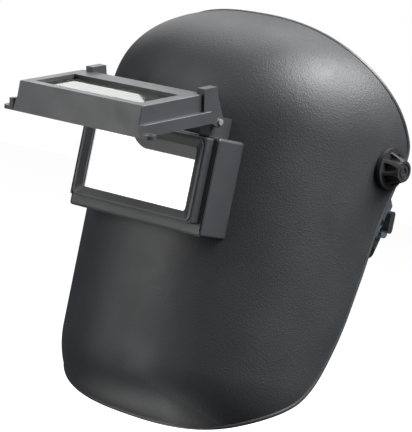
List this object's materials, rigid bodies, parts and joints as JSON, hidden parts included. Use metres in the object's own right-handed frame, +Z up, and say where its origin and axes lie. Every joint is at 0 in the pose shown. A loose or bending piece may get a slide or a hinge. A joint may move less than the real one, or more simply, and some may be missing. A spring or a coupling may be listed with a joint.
{
  "type": "welding helmet",
  "caption": "Welding helmet with a curved face shell, a flip-up shade lid over a clear window, and ratchet headgear on side knobs.",
  "frame": {"origin": "centre of the headband, where the wearer's head holds the helmet", "axes": "+Z up with the helmet worn, the wearer faces -Y, +X is the wearer's left"},
  "size_m": [0.268, 0.3544, 0.3074],
  "materials": {
    "pebbled_plastic": "fine pebble grain, charcoal black",
    "moulded_plastic": "smooth satin moulding, dark grey",
    "lid_plastic": "smooth satin moulding, lighter grey",
    "knob_plastic": "satin black",
    "strap_plastic": "satin black strap",
    "arm_plastic": "satin slate blue",
    "rubber_seal": "matt black",
    "clear_glass": "polished clear",
    "filmed_glass": "clear lens under its milky protective film",
    "shade_glass": "polished very dark green",
    "spring_steel": "bright rolled",
    "zinc_steel": "zinc plated",
    "brass_insert": "turned",
    "fibre_washer": "red fibre",
    "soft_pad": "woven cloth over foam"
  },
  "bodies": {
    "headgear": {"headband": "strap_plastic", "sweatband": "soft_pad", "crown_strap_left": "strap_plastic", "crown_strap_right": "strap_plastic", "side_arm_left": "arm_plastic", "side_arm_right": "arm_plastic", "arm_catches": "strap_plastic", "stop_disc_left": "moulded_plastic", "stop_disc_right": "moulded_plastic", "pivot_bolt_left": "zinc_steel", "pivot_bolt_right": "zinc_steel", "friction_washers": "fibre_washer", "ratchet_case": "arm_plastic", "ratchet_cover": "arm_plastic", "nape_pad": "soft_pad", "case_screws": "zinc_steel", "detent_spring": "spring_steel", "rivets": "arm_plastic"},
    "visor": {"shell": "pebbled_plastic", "window_housing": "moulded_plastic", "window_frame": "moulded_plastic", "lens_gasket": "rubber_seal", "clear_lens": "filmed_glass", "lens_retainer": "moulded_plastic", "retainer_springs": "spring_steel", "lock_frame": "moulded_plastic", "housing_screws": "zinc_steel", "hinge_pins": "zinc_steel", "hinge_washers": "spring_steel"},
    "flip_lid": {"lid": "lid_plastic", "lid_cover_glass": "clear_glass", "shade_glass": "shade_glass", "lid_retainer": "moulded_plastic", "lid_clips": "spring_steel", "lid_seal": "rubber_seal"},
    "left_knob": {"side_knob_left": "knob_plastic", "knob_insert_left": "brass_insert"},
    "right_knob": {"side_knob_right": "knob_plastic", "knob_insert_right": "brass_insert"},
    "left_rack": {"rack_left": "strap_plastic"},
    "right_rack": {"rack_right": "strap_plastic"},
    "rear_knob": {"ratchet_pinion": "moulded_plastic", "ratchet_knob": "knob_plastic", "knob_screw": "zinc_steel"}
  },
  "joints": [
    {"name": "visor_raise", "type": "hinge", "parent": "headgear", "child": "visor", "pos_m": [0, -0.03, 0.0348], "axis": [-1, 0, 0], "range_deg": [0, 60]},
    {"name": "lid_flip", "type": "hinge", "parent": "visor", "child": "flip_lid", "pos_m": [0, -0.15785, 0.0435], "axis": [-1, 0, 0], "range_deg": [-74.6, 10]},
    {"name": "left_knob_turn", "type": "hinge", "parent": "headgear", "child": "left_knob", "pos_m": [0.1206, -0.03, 0.0348], "axis": [1, 0, 0], "range_deg": [0, 360]},
    {"name": "right_knob_turn", "type": "hinge", "parent": "headgear", "child": "right_knob", "pos_m": [-0.1206, -0.03, 0.0348], "axis": [-1, 0, 0], "range_deg": [0, 360]},
    {"name": "ratchet_turn", "type": "hinge", "parent": "headgear", "child": "rear_knob", "pos_m": [0, 0.08914, -0.03565], "axis": [0, 0.9285, -0.3714], "range_deg": [-90, 90]},
    {"name": "left_rack_slide", "type": "hinge", "parent": "headgear", "child": "left_rack", "pos_m": [0, 0.03343, -0.01337], "axis": [0, 0.3714, 0.9285], "range_deg": [-6.8, 6.8]},
    {"name": "right_rack_slide", "type": "hinge", "parent": "headgear", "child": "right_rack", "pos_m": [0, 0.03343, -0.01337], "axis": [0, 0.3714, 0.9285], "range_deg": [-6.8, 6.8]}
  ],
  "couplings": [
    {"joint": "left_rack_slide", "follows": "ratchet_turn", "ratio": -0.075},
    {"joint": "right_rack_slide", "follows": "ratchet_turn", "ratio": 0.075}
  ]
}
